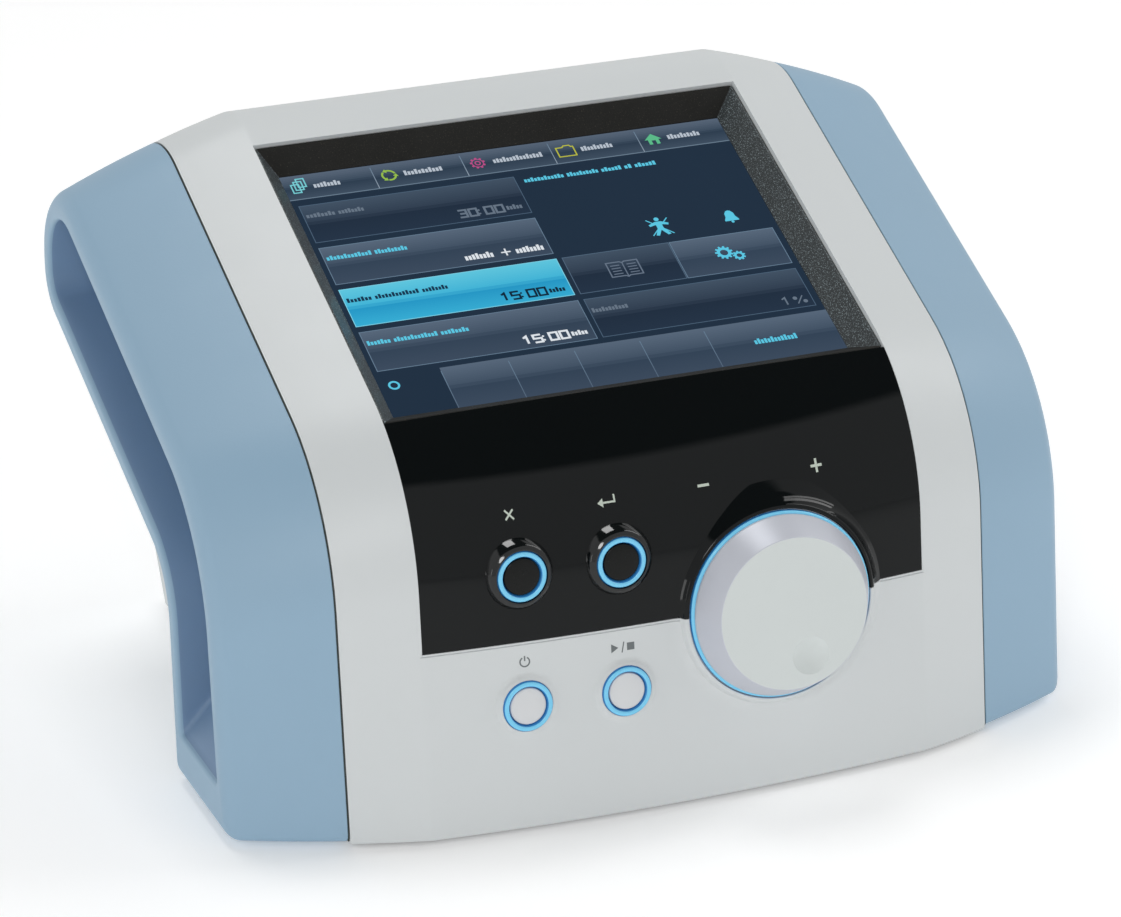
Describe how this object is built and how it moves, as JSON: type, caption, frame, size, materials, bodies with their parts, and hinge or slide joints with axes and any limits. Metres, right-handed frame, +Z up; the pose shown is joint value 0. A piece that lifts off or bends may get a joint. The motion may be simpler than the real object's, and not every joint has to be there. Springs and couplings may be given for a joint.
{
  "type": "ultrasound therapy device",
  "caption": "Desktop ultrasound therapy unit with a tilted touch screen, round control knob, lit push buttons and swept side grips.",
  "frame": {"origin": "middle of the whole device's bounding box, at the surface the feet stand on", "axes": "+Z up, +Y towards the back of the device, +X towards the right side as seen from the front"},
  "size_m": [0.32, 0.2554, 0.201],
  "materials": {
    "white_plastic": "satin, very fine grain",
    "blue_plastic": "satin, very fine grain",
    "seal": "matte",
    "grey_plastic": "matte",
    "foot_rubber": "matte",
    "gloss_panel": "high gloss",
    "black_plastic": "matte, speckled grain",
    "screen_glass": "lit screen behind clear glass",
    "sheet_steel": "plain",
    "circuit_board": "solder mask",
    "gloss_key": "gloss",
    "white_key": "satin",
    "light_ring": "translucent, lit",
    "knob_plastic": "satin skirt, matte face",
    "aluminium_fins": "extruded",
    "contact_brass": "plated",
    "wire_rubber": "smooth"
  },
  "bodies": {
    "case": {"front_cover": "white_plastic", "rear_cover": "white_plastic", "left_side_cover": "blue_plastic", "right_side_cover": "blue_plastic", "left_gasket": "seal", "right_gasket": "seal", "base_plate": "grey_plastic", "rubber_feet": "foot_rubber", "control_panel": "gloss_panel", "display_bezel": "black_plastic", "touch_glass": "screen_glass", "lcd_module": "sheet_steel", "lcd_bracket": "sheet_steel", "main_board": "circuit_board", "keypad_board": "circuit_board", "button_rings": "light_ring", "tact_switches": "black_plastic", "knob_ring": "light_ring", "encoder_body": "sheet_steel", "power_supply": "sheet_steel", "generator_board": "circuit_board", "heat_sink": "aluminium_fins", "board_spacers": "sheet_steel", "fan_frame": "black_plastic", "fan_guard": "sheet_steel", "mains_inlet": "black_plastic", "inlet_pins": "contact_brass", "applicator_sockets": "grey_plastic", "socket_pins": "contact_brass", "earth_pin": "contact_brass", "speaker": "black_plastic", "case_screws": "sheet_steel", "keypad_ribbon": "grey_plastic", "screen_ribbon": "grey_plastic", "mains_wires": "wire_rubber", "applicator_leads": "wire_rubber", "fan_lead": "wire_rubber"},
    "knob_body": {"knob": "knob_plastic", "encoder_shaft": "sheet_steel"},
    "esc_key": {"esc_button": "gloss_key"},
    "enter_key": {"enter_button": "gloss_key"},
    "power_key": {"power_button": "white_key"},
    "start_key": {"start_button": "white_key"},
    "fan_rotor_body": {"fan_rotor": "grey_plastic"},
    "rocker_body": {"mains_rocker": "gloss_key"},
    "fuse_drawer_body": {"fuse_drawer": "grey_plastic", "fuses": "contact_brass"}
  },
  "joints": [
    {"name": "knob_turn", "type": "hinge", "parent": "case", "child": "knob_body", "pos_m": [0.036, -0.10884, 0.0697], "axis": [0, -0.9925, 0.1219], "continuous": true},
    {"name": "esc_press", "type": "slide", "parent": "case", "child": "esc_key", "axis": [0, 0.9925, -0.1219], "range_m": [0, 0.001], "stiffness_N_per_m": 800, "springref_m": -0.0005},
    {"name": "enter_press", "type": "slide", "parent": "case", "child": "enter_key", "axis": [0, 0.9925, -0.1219], "range_m": [0, 0.001], "stiffness_N_per_m": 800, "springref_m": -0.0005},
    {"name": "power_press", "type": "slide", "parent": "case", "child": "power_key", "axis": [0, 0.9925, -0.1219], "range_m": [0, 0.001], "stiffness_N_per_m": 800, "springref_m": -0.0005},
    {"name": "start_press", "type": "slide", "parent": "case", "child": "start_key", "axis": [0, 0.9925, -0.1219], "range_m": [0, 0.001], "stiffness_N_per_m": 800, "springref_m": -0.0005},
    {"name": "fan_spin", "type": "hinge", "parent": "case", "child": "fan_rotor_body", "pos_m": [0.062, 0.10667, 0.107], "axis": [0, 1, 0], "continuous": true},
    {"name": "rocker_tilt", "type": "hinge", "parent": "case", "child": "rocker_body", "pos_m": [0.0975, 0.11517, 0.045], "axis": [1, 0, 0], "range_deg": [0, 16]},
    {"name": "fuse_drawer_slide", "type": "slide", "parent": "case", "child": "fuse_drawer_body", "axis": [0, 1, 0], "range_m": [0, 0.018]}
  ]
}
